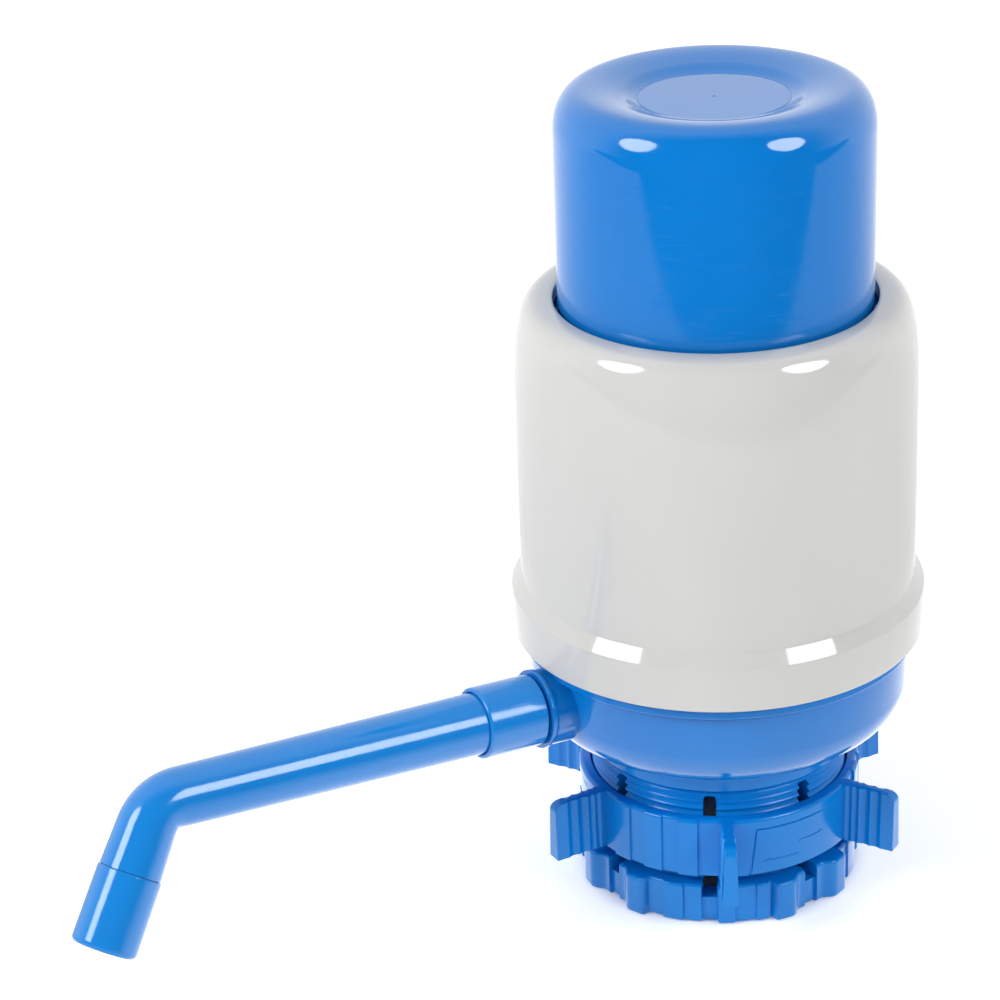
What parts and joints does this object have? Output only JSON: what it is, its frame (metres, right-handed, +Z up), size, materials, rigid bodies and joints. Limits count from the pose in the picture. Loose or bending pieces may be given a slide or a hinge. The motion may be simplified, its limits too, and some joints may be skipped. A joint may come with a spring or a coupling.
{
  "type": "bottle pump",
  "caption": "Hand-pressed pump for a large water bottle: a press cap on a bellows, a winged clamp collar and a bent spout.",
  "frame": {"origin": "centre of the press face, the flat disc in the middle of the cap's top", "axes": "+Z up out of the press face along the pump's axis, -X along the spout"},
  "size_m": [0.226, 0.1002, 0.2023],
  "materials": {
    "blue_plastic": "glossy moulded polypropylene",
    "white_plastic": "glossy moulded plastic, warm white",
    "natural_plastic": "uncoloured moulded plastic",
    "soft_rubber": "pale silicone rubber",
    "black_rubber": "black rubber cord",
    "spring_steel": "drawn stainless wire"
  },
  "bodies": {
    "base": {"neck_collar": "blue_plastic", "neck_gasket": "soft_rubber", "base_bowl": "blue_plastic", "tube_socket": "natural_plastic", "tube_socket_seal": "black_rubber", "valve_plate": "white_plastic", "bellows_retainer": "white_plastic", "bellows": "soft_rubber", "return_spring": "spring_steel", "housing": "white_plastic", "outlet_seal": "black_rubber"},
    "cap": {"press_cap": "blue_plastic", "top_plate": "white_plastic"},
    "ring": {"clamp_ring": "blue_plastic"},
    "check_flap": {"check_valve": "soft_rubber"},
    "intake_flap": {"intake_valve": "soft_rubber"},
    "spout": {"spout_coupling": "blue_plastic", "spout_tube": "blue_plastic", "spout_tip": "blue_plastic"}
  },
  "joints": [
    {"name": "cap_press", "type": "slide", "parent": "base", "child": "cap", "axis": [0, 0, -1], "range_m": [0, 0.045], "stiffness_N_per_m": 300, "deforming": ["bellows", "return_spring"]},
    {"name": "clamp_ring_turn", "type": "hinge", "parent": "base", "child": "ring", "pos_m": [0, 0, -0.1782], "axis": [0, 0, 1], "range_deg": [-180, 180]},
    {"name": "spout_swivel", "type": "hinge", "parent": "base", "child": "spout", "pos_m": [0, 0, -0.146], "axis": [-0.9981, 0, 0.061], "continuous": true},
    {"name": "check_valve_lift", "type": "slide", "parent": "base", "child": "check_flap", "axis": [0, 0, -1], "range_m": [0, 0.0012], "stiffness_N_per_m": 60},
    {"name": "intake_valve_lift", "type": "slide", "parent": "cap", "child": "intake_flap", "axis": [0, 0, -1], "range_m": [0, 0.0012], "stiffness_N_per_m": 60}
  ]
}
